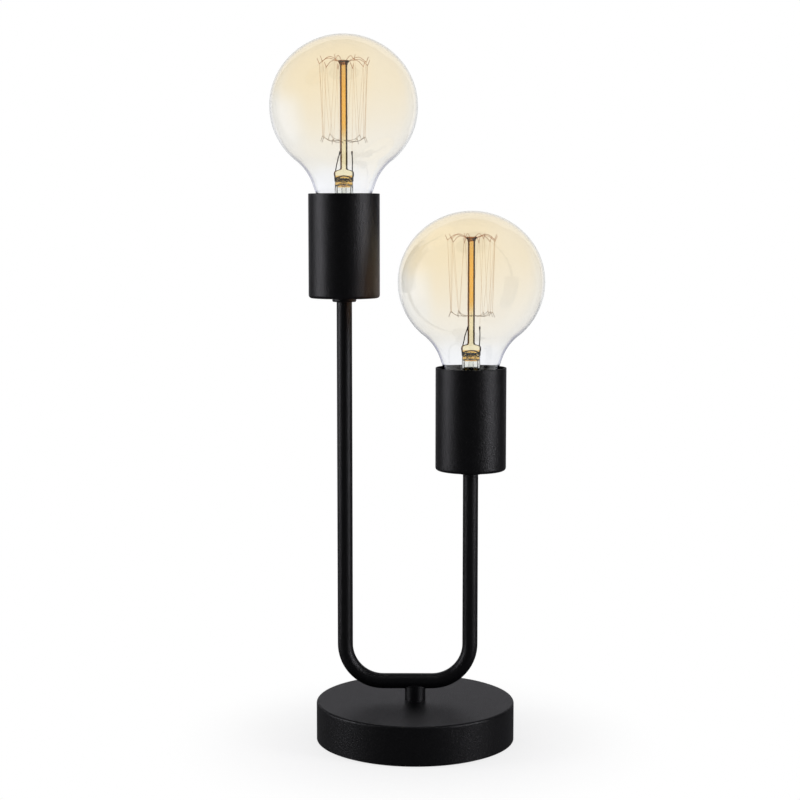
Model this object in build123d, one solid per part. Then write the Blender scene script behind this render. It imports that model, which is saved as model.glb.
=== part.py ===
"""Two-light table lamp in millimetres: a round weighted base, a U of bent tube and two screw-in globe bulbs.

The origin is on the surface the lamp stands on, under the middle of the base. +Z is up, +X is towards the
lower light and +Y is towards the back, where the mains cord enters the base.
Names ending in _z are heights above that surface, unless a section says otherwise.
"""

from build123d import *

import os
from math import atan2, cos, degrees, radians, sin, sqrt

# Base
base_diameter = 130.0
base_height = 26.0
shell_wall = 1.2
shell_edge_radius = 1.5
shell_lift = 0.8
pad_thickness = 2.0
pad_gap = 0.8
weight_gap = 1.5
pocket_diameter = 62.0
weight_roof = 6.8
channel_width = 14.0

# Cord inlet in the back of the base, for a round cord of 6 mm
inlet_z = 9.0
inlet_bore = 6.5
grommet_waist = 9.0
grommet_flange = 12.0
grommet_lip = 1.5
grommet_play = 0.1

# U frame
tube_diameter = 10.0
tube_wall = 1.0
arm_spacing = 82.0
post_offset = 5.0
bend_radius = 25.0
post_diameter = 13.5
post_bore = 7.0
post_gap = 7.5
ear_height = 2.6
weld_gap = 0.02
stub_diameter = 10.0
washer_diameter = 22.0
washer_thickness = 1.2
nut_width = 14.0
nut_height = 4.0
thread_tail = 1.3
thread_play = 0.05
hole_play = 0.3

# Cups: the heights of their undersides set how tall each arm stands
left_cup_z = 291.0
right_cup_z = 179.0
cup_diameter = 46.0
cup_height = 67.0
cup_wall = 1.0
cup_edge_radius = 2.0
cup_rim_radius = 0.35
ring_nut_diameter = 15.5
ring_nut_height = 2.5
ring_nut_round = 0.9
tube_reach = 7.0

# Lamp holder inside each cup; heights here are measured from the cup's underside
bush_diameter = 14.0
bush_height = 8.0
holder_diameter = 39.0
holder_wall = 2.0
holder_foot_diameter = 24.0
dome_z = 10.0
joint_z = 16.0
spigot_height = 6.0
spigot_wall = 1.5
joint_play = 0.1
core_z = 15.0
core_flange_z = 23.0
core_top_z = 27.5
core_boss_diameter = 25.6
sleeve_top_z = 56.0
sleeve_top_thickness = 2.5
sleeve_edge_radius = 1.5
tube_wall_inside = 1.4
screw_shell_bore = 26.4
screw_shell_wall = 0.4
screw_shell_top_z = 52.0
shell_floor_hole = 18.0
contact_width = 6.0
contact_thickness = 0.4
contact_foot_x = 7.5
contact_bend_x = 4.0
contact_tip_x = 2.5
contact_gap = 0.15
terminal_y = 9.0
terminal_thread = 3.0
terminal_head = 5.4
terminal_head_height = 1.8
core_wire_y = 3.5

# Bulb: heights here are measured from the solder tip at its lowest point
bulb_seat_z = 31.0
bulb_length = 137.0
globe_diameter = 95.0
globe_flatness = 0.962
shoulder_radius = 32.0
neck_angle = 19.0
neck_diameter = 31.4
neck_straight = 2.0
glass_wall = 1.0
glass_foot_z = 19.0
cap_length = 27.0
cap_diameter = 26.2
cap_wall = 0.35
cap_foot_z = 6.0
cap_foot_diameter = 21.0
cap_skirt_z = 9.0
neck_rise = 2.0
neck_round = 0.8
glue_gap = 0.05
insulator_waist = 11.0
tip_height = 1.8
tip_diameter = 9.6

# Glass mount inside the bulb
flare_rim = 1.0
flare_tube_diameter = 11.8
flare_wall = 1.0
flare_top_z = 30.0
press_z = 42.9
press_top_z = 51.2
press_width = 12.5
press_thickness = 4.6
press_round = 1.6
press_corner = 2.2
rod_diameter = 4.5
button_depth = 16.6
button_diameter = 7.3
button_height = 2.2
exhaust_diameter = 3.4
exhaust_wall = 0.8
exhaust_foot_z = 22.0

# Filament cage: the top hooks hang from the button, and the leads rise from the press
hook_count = 10
first_hook_angle = 3.0
hook_wire = 0.45
top_hook_radius = 15.4
top_hook_drop = 2.4
top_hook_crown = 4.2
bottom_hook_radius = 13.7
cage_height = 45.7
bottom_hook_sag = 3.0
hook_tip_reach = 1.5
hook_tip_length = 3.4
hook_root_depth = 0.6
filament_wire = 0.24
filament_play = 0.04
hook_turn = 1.5
lead_wire = 0.7
lead_x = 5.0
left_lead_tip_x = -2.2
right_lead_tip_x = 5.4
lead_tip_y = -4.6
lead_rise = 11.5
clamp_length = 1.8
clamp_diameter = 1.2
lead_fan_z = 16.0
lead_solder_z = 11.0

# Wiring: two single cores run from each holder to a terminal block in the base
core_diameter = 2.2
core_pitch = 2.6
core_turn_radius = 4.0
core_straight_end = 2.0
core_depth = 3.0
terminal_block_width = 18.0
terminal_block_length = 13.0
terminal_block_height = 9.5
terminal_block_y = 12.0
pole_pitch = 9.0
pole_depth = 3.0
pole_screw = 3.2
pole_screw_depth = 3.0
pole_screw_rows = (3.5, 9.5)

# Places worked out from the sizes above
shell_top_inside_z = base_height - shell_wall
shell_bore_radius = base_diameter / 2 - shell_wall
pocket_top_z = shell_top_inside_z - weight_roof
tube_z = base_height + post_gap + tube_diameter / 2
left_arm_x = -arm_spacing / 2 - post_offset
right_arm_x = arm_spacing / 2 - post_offset
stub_end_z = pocket_top_z - washer_thickness - nut_height - thread_tail
globe_rise = globe_flatness * globe_diameter / 2
globe_z = bulb_length - globe_rise
button_z = bulb_length - button_depth
top_hook_z = button_z - top_hook_drop
bottom_hook_z = top_hook_z - cage_height
lead_tip_z = press_top_z + lead_rise
cap_bore = cap_diameter - 2 * cap_wall
screw_shell_diameter = screw_shell_bore + 2 * screw_shell_wall
holder_radius = holder_diameter / 2


# Shapes that several pieces share


def turned(*corners):
    """A solid of revolution about Z, from its outline's corners as (radius, height)."""
    return revolve(Plane.XZ * make_face(Polyline(*corners, close=True)), Axis.Z)


def drum(radius, low, high, round_top=0.0, round_bottom=0.0):
    """A round bar between two heights, with rounded end edges where a radius is given."""
    solid = Pos(0, 0, low) * Cylinder(radius, high - low, align=(Align.CENTER, Align.CENTER, Align.MIN))
    if round_top > 0:
        solid = fillet(solid.edges().sort_by(Axis.Z)[-1], round_top)
    if round_bottom > 0:
        solid = fillet(solid.edges().sort_by(Axis.Z)[0], round_bottom)
    return solid


def ring(outer, inner, low, high):
    """A plain tube between two heights, from its outer and inner diameters."""
    return drum(outer / 2, low, high) - drum(inner / 2, low, high)


def bent_wire(points, diameter, sides=6):
    """A thin wire along straight runs, mitred at each corner and cut to a few flat sides."""
    path = Polyline(*points)
    section = Plane(path @ 0, z_dir=path % 0) * RegularPolygon(diameter / 2, sides, major_radius=True)
    return sweep(section, path=path, transition=Transition.RIGHT)


# Base: a spun steel shell over a cast iron weight, with a foam pad underneath


def base_shell():
    outside = drum(base_diameter / 2, shell_lift, base_height, round_top=shell_edge_radius)
    inner_edge = max(shell_edge_radius - shell_wall, 0)
    inside = drum(shell_bore_radius, shell_lift, shell_top_inside_z, round_top=inner_edge)
    post_hole = drum(stub_diameter / 2 + hole_play, shell_lift, base_height)
    return outside - inside - post_hole - inlet_hole(grommet_waist / 2 + grommet_play)


def inlet_hole(radius):
    """A round hole from the middle of the base out through its back."""
    return Pos(0, 0, inlet_z) * Rot(-90, 0, 0) * drum(radius, pocket_diameter / 2, base_diameter)


def cord_grommet():
    """A rubber grommet that snaps into the shell's hole, with the cord's bore through it."""
    wall_outside = base_diameter / 2
    outer_face = wall_outside + grommet_lip
    inner_face = shell_bore_radius - grommet_lip - grommet_play
    body = Pos(0, 0, inlet_z) * Rot(-90, 0, 0) * drum(grommet_flange / 2, inner_face, outer_face)
    bore = Pos(0, 0, inlet_z) * Rot(-90, 0, 0) * drum(inlet_bore / 2, inner_face, outer_face)
    wall = ring(base_diameter + 2 * grommet_play, 2 * (shell_bore_radius - grommet_play), 0, base_height)
    return body - (wall - inlet_hole(grommet_waist / 2)) - bore


def base_weight():
    """The cast weight: the post's nut and the wiring sit in its pocket, and a channel leads to the inlet."""
    radius = shell_bore_radius - weight_gap
    body = drum(radius, pad_thickness, shell_top_inside_z, round_top=max(shell_edge_radius - shell_wall, 0))
    pocket = drum(pocket_diameter / 2, pad_thickness, pocket_top_z)
    hole = drum(stub_diameter / 2 + hole_play, pad_thickness, shell_top_inside_z)
    channel_top = inlet_z + channel_width / 2
    channel = Pos(0, 0, pad_thickness) * Box(
        channel_width, radius, channel_top - pad_thickness, align=(Align.CENTER, Align.MIN, Align.MIN)
    )
    return body - pocket - hole - channel


def base_pad():
    return drum(shell_bore_radius - pad_gap, 0, pad_thickness)


# Frame: one bent tube, carried on a short post that is coped to fit under it and nutted into the base


def tube_path():
    return FilletPolyline(
        (left_arm_x, 0, left_cup_z + tube_reach),
        (left_arm_x, 0, tube_z),
        (right_arm_x, 0, tube_z),
        (right_arm_x, 0, right_cup_z + tube_reach),
        radius=bend_radius,
    )


def frame_tube():
    path = tube_path()
    start = Plane(path @ 0, z_dir=path % 0)
    section = start * (Circle(tube_diameter / 2) - Circle(tube_diameter / 2 - tube_wall))
    wire_hole = drum(post_bore / 2, tube_z - tube_diameter, tube_z)
    return sweep(section, path=path) - wire_hole


def post_ears(foot_z):
    """The post's rounded ears, which stand up in front of the tube and behind it."""
    ears = drum(post_diameter / 2, foot_z, foot_z + ear_height)
    arch_radius = ((post_diameter / 2) ** 2 + ear_height**2) / (2 * ear_height)
    arch = Rot(90, 0, 0) * Cylinder(arch_radius, 2 * post_diameter)
    return ears & (Pos(0, 0, foot_z + ear_height - arch_radius) * arch)


def frame_post():
    """The post's top is a saddle that the tube is welded into; its lower end is a stub through the base."""
    foot_z = tube_z - tube_diameter / 2
    upper = drum(post_diameter / 2, base_height, foot_z) + post_ears(foot_z)
    stub = drum(stub_diameter / 2, stub_end_z, base_height)
    saddle = Pos(0, 0, tube_z) * Rot(0, 90, 0) * Cylinder(tube_diameter / 2 + weld_gap, 2 * post_diameter)
    bore = drum(post_bore / 2, stub_end_z, tube_z)
    return upper + stub - saddle - bore


def post_washer():
    top = pocket_top_z
    return ring(washer_diameter, stub_diameter + 2 * hole_play, top - washer_thickness, top)


def post_nut():
    top = pocket_top_z - washer_thickness
    hexagon = extrude(RegularPolygon(nut_width / 2, 6, major_radius=False), nut_height)
    return Pos(0, 0, top - nut_height) * hexagon - drum(stub_diameter / 2 + thread_play, 0, top)


# Light: the cup and the lamp holder in it, with heights from the cup's underside


def ring_nut():
    body = drum(ring_nut_diameter / 2, -ring_nut_height, 0, ring_nut_round, ring_nut_round)
    return body - drum(tube_diameter / 2 + thread_play, -ring_nut_height, 0)


def cup():
    outside = drum(cup_diameter / 2, 0, cup_height, round_bottom=cup_edge_radius)
    inner_edge = max(cup_edge_radius - cup_wall, 0)
    inside = drum(cup_diameter / 2 - cup_wall, cup_wall, cup_height, round_bottom=inner_edge)
    shell = outside - inside - drum(tube_diameter / 2 + hole_play, 0, cup_wall)
    rim_edges = shell.edges().group_by(Axis.Z)[-1]
    return fillet(rim_edges, min(cup_rim_radius, 0.45 * cup_wall))


def entry_bush():
    """The threaded metal bush in the holder's foot, which screws onto the tube's end."""
    return ring(bush_diameter, tube_diameter + 2 * thread_play, cup_wall, cup_wall + bush_height)


def holder_cap():
    """The moulded lower half of the lamp holder, with a spigot that the sleeve screws onto."""
    spigot_radius = holder_radius - holder_wall
    bore = spigot_radius - spigot_wall
    foot = holder_foot_diameter / 2
    body = turned(
        (bush_diameter / 2, cup_wall),
        (foot, cup_wall),
        (holder_radius, dome_z),
        (holder_radius, joint_z),
        (spigot_radius, joint_z),
        (spigot_radius, joint_z + spigot_height),
        (bore, joint_z + spigot_height),
        (bore, core_z),
        (bore - spigot_wall, core_z),
        (bore - spigot_wall, dome_z),
        (foot - holder_wall, cup_wall + holder_wall),
        (bush_diameter / 2, cup_wall + holder_wall),
    )
    return body


def holder_core():
    """The insulating core: a flange clamped in the cap, and a boss that carries both contacts."""
    flange_radius = holder_radius - holder_wall - spigot_wall - joint_play
    body = drum(flange_radius, core_z, core_flange_z)
    body += drum(core_boss_diameter / 2, core_flange_z, core_top_z)
    for side in (-1, 1):
        wire_hole = drum(core_diameter / 2 + joint_play, core_z, core_z + core_depth)
        screw_hole = drum(terminal_thread / 2 + thread_play, core_z, core_flange_z)
        body -= Pos(0, side * core_wire_y, 0) * wire_hole
        body -= Pos(0, side * terminal_y, 0) * screw_hole
    return body


def terminal_screws():
    """The two screws that clamp the cores under the holder's core."""
    screws = []
    for side in (-1, 1):
        head = drum(terminal_head / 2, core_z - terminal_head_height, core_z)
        thread = drum(terminal_thread / 2, core_z, core_flange_z - spigot_wall)
        screws.append(Pos(0, side * terminal_y, 0) * (head + thread))
    return Part() + screws


def screw_shell():
    """The metal shell that the bulb's cap screws into, seated on the core's boss."""
    outer = screw_shell_diameter / 2
    bore = screw_shell_bore / 2
    floor_top = core_top_z + screw_shell_wall
    return turned(
        (shell_floor_hole / 2, core_top_z),
        (outer, core_top_z),
        (outer, screw_shell_top_z),
        (bore, screw_shell_top_z),
        (bore, floor_top),
        (shell_floor_hole / 2, floor_top),
    )


def centre_contact():
    """The sprung strip under the bulb's tip, fixed to the boss at one end."""
    top = bulb_seat_z - contact_gap - contact_thickness
    middle = Polyline(
        (-contact_foot_x, core_top_z + contact_thickness / 2),
        (-contact_bend_x, core_top_z + contact_thickness / 2),
        (0, top + contact_thickness / 2),
        (contact_tip_x, top + contact_thickness / 2),
    )
    strip = extrude(Plane.XZ * trace(middle, contact_thickness), contact_width / 2, both=True)
    return strip - drum(core_boss_diameter / 2, 0, core_top_z)


def holder_sleeve():
    """The moulded upper half: a skirt outside, and a tube inside that holds the screw shell."""
    seat = screw_shell_diameter / 2 + joint_play
    tube = seat + tube_wall_inside
    spigot_radius = holder_radius - holder_wall + joint_play
    skirt = holder_radius - holder_wall
    under_top = sleeve_top_z - sleeve_top_thickness
    body = turned(
        (seat, core_flange_z),
        (tube, core_flange_z),
        (tube, under_top),
        (skirt, under_top),
        (skirt, joint_z + spigot_height + joint_play),
        (spigot_radius, joint_z + spigot_height + joint_play),
        (spigot_radius, joint_z),
        (holder_radius, joint_z),
        (holder_radius, sleeve_top_z),
        (seat, sleeve_top_z),
    )
    top_edge = body.edges().group_by(Axis.Z)[-1].sort_by(SortBy.RADIUS)[-1]
    return fillet(top_edge, sleeve_edge_radius)


# Bulb: a globe on a screw cap, with heights from the solder tip


def shoulder(side_centre, side_radius):
    """The hollow arc from the neck's flank to the globe: its centre, its radius and where it meets the globe.

    Its radius is limited by the length of flank between the cap and the globe."""
    up = Vector(sin(radians(neck_angle)), cos(radians(neck_angle)))
    out = Vector(up.Y, -up.X)
    foot = Vector(neck_diameter / 2, cap_length + neck_rise) + up * neck_straight - side_centre
    room = (foot.dot(foot) - side_radius**2) / (2 * (side_radius - foot.dot(out)))
    radius = min(shoulder_radius, room)
    beside = foot + out * radius
    climb = -beside.dot(up) - sqrt((side_radius + radius) ** 2 - beside.dot(out) ** 2)
    from_globe = beside + up * climb
    return side_centre + from_globe, radius, degrees(atan2(-from_globe.Y, from_globe.X))


def bulb_form(inset, foot_z):
    """The bulb's glass as a full solid, with every wall moved in by inset and its neck cut at foot_z."""
    across, rise = globe_diameter / 2, globe_rise
    side_radius = rise**2 / across
    side_centre = Vector(across - side_radius, globe_z)
    crown_radius = (side_centre.X**2 + rise**2 - side_radius**2) / (2 * (rise - side_radius))
    crown_z = globe_z + rise - crown_radius
    change = degrees(atan2(globe_z - crown_z, side_centre.X))
    centre, radius, meet_angle = shoulder(side_centre, side_radius)
    crown = CenterArc((0, crown_z), crown_radius - inset, change, 90 - change)
    sides = CenterArc(side_centre, side_radius - inset, -meet_angle, meet_angle + change)
    flank = CenterArc(centre, radius + inset, 180 - neck_angle, neck_angle - meet_angle)
    collar_r = cap_bore / 2 - glue_gap - inset
    neck_r = neck_diameter / 2 - inset * cos(radians(neck_angle))
    neck = FilletPolyline(
        (collar_r, foot_z),
        (collar_r, cap_length + neck_round),
        (neck_r, cap_length + neck_rise + inset * sin(radians(neck_angle))),
        flank @ 0,
        radius=neck_round,
    )
    axis = Polyline(crown @ 1, (0, foot_z), (collar_r, foot_z))
    outline = [crown, sides, flank, *neck.edges(), *axis.edges()]
    return revolve(Plane.XZ * make_face(outline), Axis.Z)


def bulb_glass():
    return bulb_form(0, glass_foot_z) - bulb_form(glass_wall, glass_foot_z)


def bulb_cap():
    """The screw cap's thin metal shell, drawn in at its foot round the insulator."""
    outer = cap_diameter / 2
    foot = cap_foot_diameter / 2
    return turned(
        (foot, cap_foot_z),
        (outer, cap_skirt_z),
        (outer, cap_length),
        (outer - cap_wall, cap_length),
        (outer - cap_wall, cap_skirt_z),
        (foot - cap_wall, cap_foot_z),
    )


def bulb_insulator():
    """The black glass cone between the cap's shell and the solder tip."""
    foot = cap_foot_diameter / 2 - cap_wall
    return turned(
        (0, tip_height),
        (insulator_waist / 2, tip_height),
        (foot, cap_foot_z),
        (0, cap_foot_z),
    )


def bulb_tip():
    """The domed solder contact."""
    radius = tip_diameter / 2
    dome = ThreePointArc((0, 0), (0.72 * radius, 0.35 * tip_height), (radius, tip_height))
    sides = Polyline((radius, tip_height), (0, tip_height), (0, 0))
    return revolve(Plane.XZ * make_face([*dome.edges(), *sides.edges()]), Axis.Z)


# Glass mount and filament cage, with heights from the solder tip


def radial(angle, radius, height):
    """A point at an angle round the bulb's axis."""
    return (radius * cos(radians(angle)), radius * sin(radians(angle)), height)


def top_hook_angles():
    return [first_hook_angle + k * 360 / hook_count for k in range(hook_count)]


def bottom_hook_angles():
    """Halfway between the top hooks, with none at the front, where the leads come up."""
    halves = [a + 180 / hook_count for a in top_hook_angles()]
    return [a for a in halves if abs((a % 360) - 270) > 180 / hook_count]


def top_hook_profile():
    """From the button out over a crown, down to the notch the filament lies in, and up to a bare tip."""
    return [
        (button_diameter / 2 - hook_root_depth, button_z - button_height / 3),
        (top_hook_radius / 2, top_hook_z + top_hook_crown),
        (top_hook_radius, top_hook_z),
        (top_hook_radius + hook_tip_reach, top_hook_z + hook_tip_length),
    ]


def bottom_hook_profile():
    """From the rod out and up to the peak that holds the filament down, and down again to a bare tip."""
    return [
        (rod_diameter / 2 - hook_root_depth, bottom_hook_z - bottom_hook_sag),
        (bottom_hook_radius * 2 / 3, bottom_hook_z - bottom_hook_sag),
        (bottom_hook_radius, bottom_hook_z),
        (bottom_hook_radius + hook_tip_reach, bottom_hook_z - hook_tip_length),
    ]


def hook(profile, angle):
    return bent_wire([radial(angle, r, z) for r, z in profile], hook_wire)


def filament_seat(profile):
    """Where the filament's middle lies inside a hook's last bend, clear of both of its sides."""
    inner, corner, tip = [Vector(r, z) for r, z in profile[1:]]
    to_inner, to_tip = (inner - corner).normalized(), (tip - corner).normalized()
    clear = hook_wire / 2 + filament_wire + filament_play
    half_opening = radians(to_inner.get_angle(to_tip) / 2)
    return corner + (to_inner + to_tip).normalized() * (clear / sin(half_opening))


def bulb_supports():
    top_hooks = [hook(top_hook_profile(), angle) for angle in top_hook_angles()]
    bottom_hooks = [hook(bottom_hook_profile(), angle) for angle in bottom_hook_angles()]
    return Part() + top_hooks + bottom_hooks


def lead(foot, side, tip_x):
    """One lead-in wire: from its solder joint up through the press to the clamp on the filament's end."""
    root = (side * lead_x, 0, press_top_z)
    tip = (tip_x, lead_tip_y, lead_tip_z)
    beside_exhaust = side * exhaust_diameter
    run = [foot, (beside_exhaust, 0, lead_fan_z), (beside_exhaust, 0, press_z), root, tip]
    clamp = Plane(tip, z_dir=Vector(*tip) - Vector(*root)) * drum(clamp_diameter / 2, -clamp_length, 0)
    return bent_wire(run, lead_wire) + clamp


def bulb_leads():
    """One lead comes up from the solder tip, and the other from the side of the cap."""
    to_tip = (0, 0, cap_foot_z + joint_play)
    to_cap = (cap_bore / 2 - lead_wire, 0, lead_solder_z)
    return lead(to_tip, -1, left_lead_tip_x) + lead(to_cap, 1, right_lead_tip_x)


def filament_points():
    """The zigzag from one lead's clamp, over each top hook and under each bottom hook, to the other clamp."""
    top, low = filament_seat(top_hook_profile()), filament_seat(bottom_hook_profile())
    first = min(angle % 360 for angle in top_hook_angles() if angle % 360 > 270)
    clamp_z = lead_tip_z + filament_wire
    points = [(right_lead_tip_x, lead_tip_y, clamp_z)]
    for k in range(hook_count):
        over = first + k * 360 / hook_count
        under = over + 180 / hook_count
        points += [radial(over + side * hook_turn, top.X, top.Y) for side in (-1, 1)]
        if k < hook_count - 1:
            points += [radial(under + side * hook_turn, low.X, low.Y) for side in (-1, 1)]
    return points + [(left_lead_tip_x, lead_tip_y, clamp_z)]


def bulb_filament():
    return bent_wire(filament_points(), filament_wire, sides=4)


def glass_mount():
    """The flare, press, rod and button as one piece of glass, with the exhaust tube."""
    rim = cap_bore / 2 - glue_gap
    tube = flare_tube_diameter / 2
    rod = rod_diameter / 2
    flare = turned(
        (rim, glass_foot_z - flare_rim),
        (rim, glass_foot_z),
        (rim - flare_wall, glass_foot_z),
        (tube, flare_top_z),
        (tube, press_z),
        (tube - flare_wall, press_z),
        (tube - flare_wall, flare_top_z),
        (rim - 2 * flare_wall, glass_foot_z - flare_rim),
    )
    across = RectangleRounded(press_width, press_thickness, press_round)
    press = extrude(Plane.XY.offset(press_z) * across, press_top_z - press_z)
    tall = press_top_z - press_z + 2 * press_corner
    front = Pos(0, press_top_z - tall / 2) * RectangleRounded(press_width, tall, press_corner)
    press &= extrude(Plane.XZ * front, press_thickness, both=True)
    shoulder = loft(
        [
            Plane.XY.offset(press_z) * Circle(tube),
            Plane.XY.offset(press_z + press_round) * across,
        ]
    )
    stem = turned(
        (0, press_top_z - press_round),
        (rod, press_top_z - press_round),
        (rod, button_z - button_height),
        (button_diameter / 2, button_z - button_height / 2),
        (button_diameter / 2, button_z),
        (0, button_z),
    )
    exhaust = ring(exhaust_diameter, exhaust_diameter - 2 * exhaust_wall, exhaust_foot_z, press_z)
    return flare + shoulder + press + stem + exhaust


# Wiring inside the frame


def core(arm_x, cup_z, pole):
    """One insulated core, from a holder terminal down the arm and the post to its pole of the block."""
    side = 1 if arm_x > 0 else -1
    under_core_z = cup_z + core_z
    x, y = side * core_pitch / 2, pole * core_pitch / 2
    block_z = pad_thickness + terminal_block_height / 2
    end_x = pole * pole_pitch / 2 + x
    bends = [core_diameter, core_diameter, bend_radius, core_turn_radius, core_turn_radius, core_straight_end]
    path = FilletPolyline(
        (arm_x, pole * core_wire_y, under_core_z + core_depth),
        (arm_x, pole * core_wire_y, under_core_z - core_straight_end),
        (arm_x, y, under_core_z - 3 * core_straight_end),
        (arm_x, y, tube_z),
        (x, y, tube_z),
        (x, y, block_z + 1.5 * y),
        (end_x, terminal_block_y - core_straight_end, block_z),
        (end_x, terminal_block_y + pole_depth, block_z),
        radius=bends,
    )
    return sweep(Plane(path @ 0, z_dir=path % 0) * Circle(core_diameter / 2), path=path)


def terminal_block():
    """A two-pole connector that lies on the pad, with wire entries in front and behind and screws on top."""
    body = Pos(0, terminal_block_y, pad_thickness) * Box(
        terminal_block_width,
        terminal_block_length,
        terminal_block_height,
        align=(Align.CENTER, Align.MIN, Align.MIN),
    )
    top = pad_thickness + terminal_block_height
    entry = Box(core_pitch + core_diameter + 2 * joint_play, 2 * pole_depth, core_diameter + 2 * joint_play)
    for side in (-1, 1):
        for face_y in (terminal_block_y, terminal_block_y + terminal_block_length):
            body -= Pos(side * pole_pitch / 2, face_y, pad_thickness + terminal_block_height / 2) * entry
        for row in pole_screw_rows:
            hole = drum(pole_screw / 2 + joint_play, top - pole_screw_depth, top)
            body -= Pos(side * pole_pitch / 2, terminal_block_y + row, 0) * hole
    return body


def block_screws():
    top = pad_thickness + terminal_block_height
    screws = []
    for side in (-1, 1):
        for row in pole_screw_rows:
            screw = drum(pole_screw / 2, top - pole_screw_depth, top)
            screws.append(Pos(side * pole_pitch / 2, terminal_block_y + row, 0) * screw)
    return Part() + screws


# The whole lamp


def all_parts():
    parts = {
        "base_shell": base_shell(),
        "base_weight": base_weight(),
        "base_pad": base_pad(),
        "cord_grommet": cord_grommet(),
        "terminal_block": terminal_block(),
        "terminal_block_screws": block_screws(),
        "frame_tube": frame_tube(),
        "frame_post": frame_post(),
        "post_washer": post_washer(),
        "post_nut": post_nut(),
    }
    light = {
        "ring_nut": ring_nut(),
        "cup": cup(),
        "entry_bush": entry_bush(),
        "holder_cap": holder_cap(),
        "holder_core": holder_core(),
        "holder_screws": terminal_screws(),
        "screw_shell": screw_shell(),
        "centre_contact": centre_contact(),
        "holder_sleeve": holder_sleeve(),
    }
    supports, leads = bulb_supports(), bulb_leads()
    bulb = {
        "bulb_glass": bulb_glass(),
        "bulb_mount": glass_mount() - supports - leads,
        "bulb_supports": supports,
        "bulb_filament": bulb_filament(),
        "bulb_leads": leads,
        "bulb_cap": bulb_cap(),
        "bulb_insulator": bulb_insulator(),
        "bulb_tip": bulb_tip(),
    }
    for name, x, z in (("left", left_arm_x, left_cup_z), ("right", right_arm_x, right_cup_z)):
        for piece, shape in light.items():
            parts[f"{name}_{piece}"] = Pos(x, 0, z) * shape
        for piece, shape in bulb.items():
            parts[f"{name}_{piece}"] = Pos(x, 0, z + bulb_seat_z) * shape
        parts[f"{name}_live_core"] = core(x, z, -1)
        parts[f"{name}_neutral_core"] = core(x, z, 1)
    return parts


os.makedirs("parts", exist_ok=True)
for node, shape in all_parts().items():
    export_step(shape, f"parts/{node}.step")
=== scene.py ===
import math

import bpy
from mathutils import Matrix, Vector, noise


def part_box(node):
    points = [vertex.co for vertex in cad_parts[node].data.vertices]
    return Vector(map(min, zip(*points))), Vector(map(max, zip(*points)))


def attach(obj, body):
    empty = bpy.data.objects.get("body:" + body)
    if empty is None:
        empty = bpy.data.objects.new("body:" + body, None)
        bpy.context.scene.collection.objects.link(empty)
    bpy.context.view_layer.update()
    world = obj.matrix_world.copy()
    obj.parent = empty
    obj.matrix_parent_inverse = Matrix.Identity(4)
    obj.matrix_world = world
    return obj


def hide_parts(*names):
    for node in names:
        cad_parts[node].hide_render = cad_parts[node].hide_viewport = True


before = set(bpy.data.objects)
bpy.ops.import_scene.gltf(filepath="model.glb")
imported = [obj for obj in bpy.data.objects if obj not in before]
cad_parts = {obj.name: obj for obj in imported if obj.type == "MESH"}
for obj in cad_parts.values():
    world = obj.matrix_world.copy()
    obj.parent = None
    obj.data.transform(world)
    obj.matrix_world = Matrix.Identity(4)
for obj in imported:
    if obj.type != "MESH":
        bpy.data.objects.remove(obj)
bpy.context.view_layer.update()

# The look of a two-light table lamp: satin black powder coat, and two clear amber globes with an open cage of
# filament. +Z is up, +X is towards the lower light and +Y is towards the back. Lengths are in metres, and
# small ones are written in millimetres. Angles are in degrees. A bulb's own pieces are made round its axis,
# with heights from its solder tip.
mm = 0.001
sides = ("left", "right")

# Camera, with its lens and sensor in millimetres
camera_place = (0.0, -1150.6 * mm, 343.1 * mm)
camera_down = 5.871
camera_left = 0.499
camera_lens = 80.14
camera_sensor = 36.0

# How bright the surroundings are, where 1 is white: seen straight or through glass, mirrored in clear glass,
# mirrored in satin metal, and as light on everything else
white_room = 1.0
clear_room = 0.3
clear_backdrop = 0.8
dim_room = 0.03
dim_floor = 0.10
dim_backdrop = 0.43
fill_light = 0.42

# Floor and backdrop. Near the object, a share of the floor's white gives way to paint that takes a shadow.
floor_size = 12.0
backdrop_y = 1.6
backdrop_size = (2.6, 2.4)
shadow_share = 0.24
shadow_core = 0.068
shadow_reach = 0.17

# Soft boxes: azimuth, height, distance, width and height of the box, and watts.
# Azimuth 0 is on the camera's side and 90 on the right.
metal_boxes = {
    "left_strip": (-84, 0.35, 1.5, (0.95, 1.6), 31),
    "right_strip": (67, 0.35, 1.5, (0.65, 1.6), 34),
    "top_box": (0, 1.8, 0.25, (1.6, 1.6), 8),
}
globe_boxes = {"left_window": (-93, 0.30, 0.5, (0.5, 0.6), 0.8)}
box_target = Vector((0, 0, 0.24))
box_fade = 0.35
cool_white = (0.95, 0.94, 1.0, 1.0)

# The warm light beside the right bulb
glow_place = (8 * mm, -2 * mm, 285 * mm)
glow_target = Vector((-23 * mm, 0, 300 * mm))
glow_spread = 100
glow_radius = 14 * mm
glow_watts = 0.12
glow_colour = (1.0, 0.35, 0.08)

# Bulb
globe_diameter = 95 * mm
globe_flatness = 0.962
bulb_length = 137 * mm
shoulder_radius = 32 * mm
neck_angle = 19.0
neck_diameter = 31.4 * mm
glass_wall = 0.8 * mm
globe_inset = 0.01 * mm
globe_steps = 40
globe_sides = 256
glass_foot_z = 19 * mm
cap_length = 27 * mm
cap_diameter = 26.2 * mm
cap_wall = 0.35 * mm
cap_foot_z = 6 * mm
cap_foot_diameter = 21 * mm
collar_diameter = 25.4 * mm
neck_rise = 2 * mm
neck_round = 0.8 * mm
thread_pitch = 3.629 * mm
thread_depth = 0.75 * mm
thread_low_z = 9.5 * mm
thread_high_z = 24.5 * mm
thread_steps = 60
wall_sides = 96

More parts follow.
